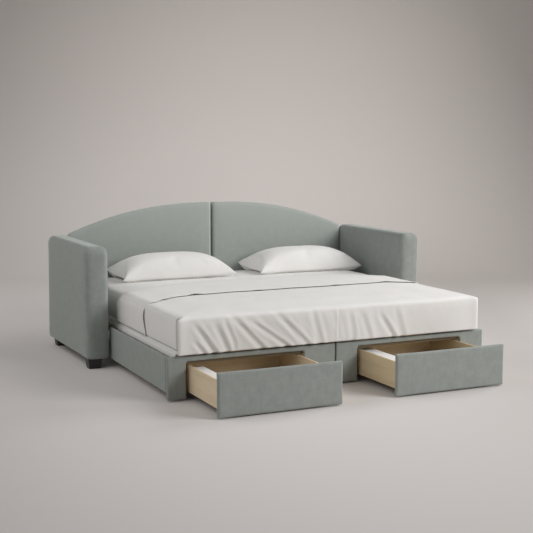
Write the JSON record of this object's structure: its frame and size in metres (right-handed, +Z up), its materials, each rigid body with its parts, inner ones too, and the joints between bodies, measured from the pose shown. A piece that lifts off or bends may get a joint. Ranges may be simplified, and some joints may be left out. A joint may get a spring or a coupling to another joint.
{
  "type": "sofa bed with drawers",
  "caption": "Upholstered sofa bed with an arched back and slab arms, pulled out and made up as a double bed, with a slatted base that rolls out and carries storage drawers.",
  "frame": {"origin": "on the floor, at the middle of the object's box as it stands opened out", "axes": "+X to the right of someone who faces the front, +Y towards the back, +Z up"},
  "size_m": [2.406, 2.416, 0.9598],
  "materials": {
    "upholstery": "matt woven, sage grey",
    "birch": "clear satin lacquer on birch plywood",
    "pine": "planed, unfinished",
    "foot": "dark stain, satin",
    "runner_steel": "zinc plated",
    "wheel": "moulded nylon",
    "mattress": "fitted cotton sheet",
    "duvet": "soft washed cotton",
    "sheet": "soft washed cotton",
    "pillow": "soft washed cotton"
  },
  "bodies": {
    "sofa": {"left_arm": "upholstery", "right_arm": "upholstery", "left_back_panel": "upholstery", "right_back_panel": "upholstery", "front_left_foot": "foot", "rear_left_foot": "foot", "front_right_foot": "foot", "rear_right_foot": "foot", "rear_rail": "pine", "fixed_slat_1": "pine", "fixed_slat_2": "pine", "fixed_slat_3": "pine", "fixed_slat_4": "pine", "fixed_slat_5": "pine", "fixed_slat_6": "pine", "rear_mattress": "mattress", "left_pillow": "pillow", "right_pillow": "pillow", "duvet": "duvet", "top_sheet": "sheet"},
    "pullout_base": {"left_fascia": "upholstery", "right_fascia": "upholstery", "left_side_panel": "upholstery", "right_side_panel": "upholstery", "front_cross_rail": "pine", "middle_cross_rail": "pine", "rear_cross_rail": "pine", "sliding_slat_1": "pine", "sliding_slat_2": "pine", "sliding_slat_3": "pine", "sliding_slat_4": "pine", "sliding_slat_5": "pine", "left_outer_partition": "birch", "left_inner_partition": "birch", "right_inner_partition": "birch", "right_outer_partition": "birch", "left_drawer_left_track": "runner_steel", "left_drawer_right_track": "runner_steel", "right_drawer_left_track": "runner_steel", "right_drawer_right_track": "runner_steel", "front_mattress": "mattress"},
    "left_drawer": {"left_drawer_front": "upholstery", "left_drawer_left_side": "birch", "left_drawer_right_side": "birch", "left_drawer_back": "birch", "left_drawer_floor": "birch", "left_drawer_left_slider": "runner_steel", "left_drawer_right_slider": "runner_steel"},
    "right_drawer": {"right_drawer_front": "upholstery", "right_drawer_left_side": "birch", "right_drawer_right_side": "birch", "right_drawer_back": "birch", "right_drawer_floor": "birch", "right_drawer_left_slider": "runner_steel", "right_drawer_right_slider": "runner_steel"},
    "front_left_wheel_roller": {"front_left_wheel": "wheel"},
    "rear_left_wheel_roller": {"rear_left_wheel": "wheel"},
    "front_right_wheel_roller": {"front_right_wheel": "wheel"},
    "rear_right_wheel_roller": {"rear_right_wheel": "wheel"}
  },
  "joints": [
    {"name": "base_slide", "type": "slide", "parent": "sofa", "child": "pullout_base", "axis": [0, 1, 0], "range_m": [0, 0.78], "deforming": ["front_mattress", "duvet", "top_sheet"]},
    {"name": "left_drawer_slide", "type": "slide", "parent": "pullout_base", "child": "left_drawer", "axis": [0, -1, 0], "range_m": [-0.432, 0.068]},
    {"name": "right_drawer_slide", "type": "slide", "parent": "pullout_base", "child": "right_drawer", "axis": [0, -1, 0], "range_m": [-0.412, 0.088]},
    {"name": "front_left_wheel_spin", "type": "hinge", "parent": "pullout_base", "child": "front_left_wheel_roller", "pos_m": [-0.945, -0.678, 0.03], "axis": [1, 0, 0], "continuous": true},
    {"name": "rear_left_wheel_spin", "type": "hinge", "parent": "pullout_base", "child": "rear_left_wheel_roller", "pos_m": [-0.945, 0.2317, 0.03], "axis": [1, 0, 0], "continuous": true},
    {"name": "front_right_wheel_spin", "type": "hinge", "parent": "pullout_base", "child": "front_right_wheel_roller", "pos_m": [0.885, -0.678, 0.03], "axis": [1, 0, 0], "continuous": true},
    {"name": "rear_right_wheel_spin", "type": "hinge", "parent": "pullout_base", "child": "rear_right_wheel_roller", "pos_m": [0.885, 0.2317, 0.03], "axis": [1, 0, 0], "continuous": true}
  ]
}
